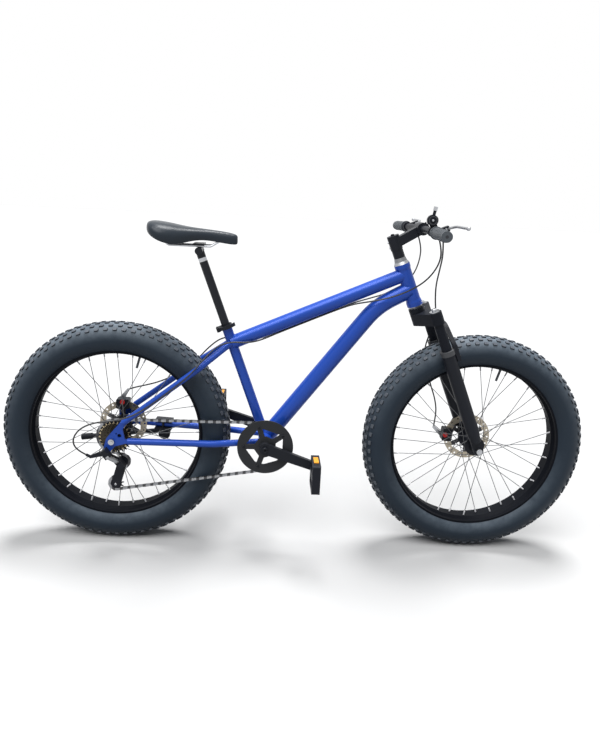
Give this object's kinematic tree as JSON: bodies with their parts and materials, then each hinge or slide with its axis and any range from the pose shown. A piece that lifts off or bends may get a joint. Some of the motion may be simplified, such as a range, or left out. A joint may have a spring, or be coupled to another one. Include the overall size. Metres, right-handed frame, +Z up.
{
  "type": "fat tire bike",
  "caption": "Fat tire bike with a hardtail frame, suspension fork, wide knobbed tyres on spoked rims, disc brakes, chain drive with derailleur, folding kickstand and height-adjustable saddle.",
  "frame": {"origin": "on the ground under the middle of the wheelbase, in the centre plane", "axes": "+X forward, +Y to the rider's left, +Z up; the drive side is -Y"},
  "size_m": [1.942, 0.659, 1.1577],
  "materials": {
    "frame_paint": "satin gloss blue",
    "black_metal": "satin black coat on alloy",
    "bright_metal": "polished",
    "steel": "brushed",
    "bronze_steel": "bronze coated",
    "tyre_rubber": "matt dark blue-grey",
    "soft_rubber": "matt",
    "black_plastic": "matt",
    "saddle_cover": "matt vinyl"
  },
  "bodies": {
    "frame": {"head_tube": "frame_paint", "top_tube": "frame_paint", "down_tube": "frame_paint", "seat_tube": "frame_paint", "bottom_bracket": "frame_paint", "chainstays": "frame_paint", "seatstays": "frame_paint", "dropouts": "frame_paint", "headset": "bright_metal", "seat_clamp": "black_metal", "rear_axle": "steel", "rear_caliper": "black_metal", "kickstand_bracket": "black_metal", "derailleur_bracket": "black_metal", "chain": "steel", "rear_cables": "black_plastic"},
    "seat_clamp_lever": {"seat_clamp_lever": "bright_metal"},
    "rear_brake_arm": {"rear_brake_arm": "steel"},
    "kickstand": {"kickstand": "black_metal"},
    "rear_wheel": {"rear_tyre": "tyre_rubber", "rear_inner_tube": "soft_rubber", "rear_rim": "black_metal", "rear_spokes": "steel", "rear_hub": "black_metal", "rear_brake_disc": "steel"},
    "freewheel": {"freewheel": "bronze_steel"},
    "crankset": {"crank_axles": "steel", "chainring": "black_metal", "crank_arm_right": "black_metal", "crank_arm_left": "black_metal"},
    "pedal_right": {"pedal_right": "black_plastic"},
    "pedal_left": {"pedal_left": "black_plastic"},
    "derailleur_link_outer": {"derailleur_link_outer": "black_metal"},
    "derailleur_link_inner": {"derailleur_link_inner": "black_metal"},
    "derailleur_knuckle": {"derailleur_knuckle": "black_metal"},
    "derailleur_cage": {"derailleur_cage": "black_metal"},
    "guide_pulley": {"guide_pulley": "black_plastic"},
    "tension_pulley": {"tension_pulley": "black_plastic"},
    "seat": {"seatpost": "black_metal", "saddle_rails": "steel", "saddle": "saddle_cover"},
    "fork": {"fork_upper": "black_metal", "stem": "black_metal", "handlebar": "black_metal", "grips": "soft_rubber", "bar_clamps": "black_metal", "front_brake_cable": "black_plastic"},
    "brake_lever_right": {"brake_lever_right": "bright_metal"},
    "brake_lever_left": {"brake_lever_left": "bright_metal"},
    "shift_lever": {"shift_lever": "black_plastic"},
    "fork_lowers": {"fork_lowers": "black_metal", "front_caliper": "black_metal", "front_axle": "steel"},
    "front_brake_arm": {"front_brake_arm": "steel"},
    "front_wheel": {"front_tyre": "tyre_rubber", "front_inner_tube": "soft_rubber", "front_rim": "black_metal", "front_spokes": "steel", "front_hub": "black_metal", "front_brake_disc": "steel"}
  },
  "joints": [
    {"name": "steering", "type": "hinge", "parent": "frame", "child": "fork", "pos_m": [0.36197, 0, 0.83949], "axis": [-0.3827, 0, 0.9239], "range_deg": [-50, 50], "deforming": ["rear_cables"]},
    {"name": "fork_travel", "type": "slide", "parent": "fork", "child": "fork_lowers", "axis": [-0.3827, 0, 0.9239], "range_m": [0, 0.05], "stiffness_N_per_m": 8000, "springref_m": -0.03, "deforming": ["front_brake_cable"]},
    {"name": "front_wheel_spin", "type": "hinge", "parent": "fork_lowers", "child": "front_wheel", "pos_m": [0.597, 0, 0.374], "axis": [0, 1, 0], "continuous": true},
    {"name": "rear_wheel_spin", "type": "hinge", "parent": "frame", "child": "rear_wheel", "pos_m": [-0.597, 0, 0.374], "axis": [0, 1, 0], "continuous": true},
    {"name": "crank_spin", "type": "hinge", "parent": "frame", "child": "crankset", "pos_m": [-0.106, 0, 0.366], "axis": [0, 1, 0], "continuous": true, "deforming": ["chain"]},
    {"name": "pedal_right_spin", "type": "hinge", "parent": "crankset", "child": "pedal_right", "pos_m": [0.05474, 0, 0.31065], "axis": [0, 1, 0], "continuous": true},
    {"name": "pedal_left_spin", "type": "hinge", "parent": "crankset", "child": "pedal_left", "pos_m": [-0.26674, 0, 0.42135], "axis": [0, 1, 0], "continuous": true},
    {"name": "freewheel_spin", "type": "hinge", "parent": "frame", "child": "freewheel", "pos_m": [-0.597, 0, 0.374], "axis": [0, 1, 0], "continuous": true, "deforming": ["chain"]},
    {"name": "brake_lever_right_pull", "type": "hinge", "parent": "fork", "child": "brake_lever_right", "pos_m": [0.38543, -0.18748, 1.09491], "axis": [0.3827, 0, -0.9239], "range_deg": [0, 14], "stiffness_Nm_per_rad": 1, "springref_deg": -17.19},
    {"name": "front_brake_arm_pull", "type": "hinge", "parent": "fork_lowers", "child": "front_brake_arm", "pos_m": [0.5143, 0.0695, 0.3692], "axis": [0, 1, 0], "range_deg": [0, 15], "deforming": ["front_brake_cable"]},
    {"name": "brake_lever_left_pull", "type": "hinge", "parent": "fork", "child": "brake_lever_left", "pos_m": [0.38543, 0.18748, 1.09491], "axis": [-0.3827, 0, 0.9239], "range_deg": [0, 14], "stiffness_Nm_per_rad": 1, "springref_deg": -17.19},
    {"name": "rear_brake_arm_pull", "type": "hinge", "parent": "frame", "child": "rear_brake_arm", "pos_m": [-0.609, 0.0885, 0.456], "axis": [0, 1, 0], "range_deg": [0, 15], "deforming": ["rear_cables"]},
    {"name": "shift_lever_turn", "type": "hinge", "parent": "fork", "child": "shift_lever", "pos_m": [0.35341, -0.14833, 1.11737], "axis": [-0.0484, -0.9986, -0.02], "range_deg": [0, 90], "deforming": ["rear_cables"]},
    {"name": "derailleur_outer_swing", "type": "hinge", "parent": "frame", "child": "derailleur_link_outer", "pos_m": [-0.60538, -0.1145, 0.32997], "axis": [-0.788, 0, -0.6157], "range_deg": [0, 36], "deforming": ["chain", "rear_cables"]},
    {"name": "derailleur_inner_swing", "type": "hinge", "parent": "frame", "child": "derailleur_link_inner", "pos_m": [-0.60538, -0.0985, 0.32997], "axis": [-0.788, 0, -0.6157], "range_deg": [0, 36]},
    {"name": "derailleur_knuckle_swing", "type": "hinge", "parent": "derailleur_link_outer", "child": "derailleur_knuckle", "pos_m": [-0.58075, -0.08127, 0.29845], "axis": [0.788, 0, 0.6157], "range_deg": [0, 36]},
    {"name": "derailleur_cage_swing", "type": "hinge", "parent": "derailleur_knuckle", "child": "derailleur_cage", "pos_m": [-0.57213, -0.048, 0.28741], "axis": [0, 1, 0], "range_deg": [-30, 20], "stiffness_Nm_per_rad": 0.5, "deforming": ["chain"]},
    {"name": "guide_pulley_spin", "type": "hinge", "parent": "derailleur_cage", "child": "guide_pulley", "pos_m": [-0.57213, -0.048, 0.28741], "axis": [0, 1, 0], "continuous": true},
    {"name": "tension_pulley_spin", "type": "hinge", "parent": "derailleur_cage", "child": "tension_pulley", "pos_m": [-0.59478, -0.048, 0.2086], "axis": [0, 1, 0], "continuous": true},
    {"name": "seatpost_slide", "type": "slide", "parent": "frame", "child": "seat", "axis": [-0.3502, 0, 0.9367], "range_m": [-0.1, 0.06]},
    {"name": "seat_clamp_lever_turn", "type": "hinge", "parent": "frame", "child": "seat_clamp_lever", "pos_m": [-0.26925, -0.01569, 0.73094], "axis": [0.3502, 0, -0.9367], "range_deg": [0, 150]},
    {"name": "kickstand_turn", "type": "hinge", "parent": "frame", "child": "kickstand", "pos_m": [-0.46, 0.1, 0.33445], "axis": [0, -0.9483, -0.3173], "range_deg": [0, 88]}
  ],
  "couplings": [
    {"joint": "freewheel_spin", "follows": "crank_spin", "ratio": 1.4286},
    {"joint": "guide_pulley_spin", "follows": "crank_spin", "ratio": -3.6364},
    {"joint": "tension_pulley_spin", "follows": "crank_spin", "ratio": 3.6364},
    {"joint": "front_brake_arm_pull", "follows": "brake_lever_right_pull", "ratio": 1.07},
    {"joint": "rear_brake_arm_pull", "follows": "brake_lever_left_pull", "ratio": 1.07},
    {"joint": "derailleur_outer_swing", "follows": "shift_lever_turn", "ratio": 0.4},
    {"joint": "derailleur_inner_swing", "follows": "shift_lever_turn", "ratio": 0.4},
    {"joint": "derailleur_knuckle_swing", "follows": "shift_lever_turn", "ratio": 0.4}
  ]
}
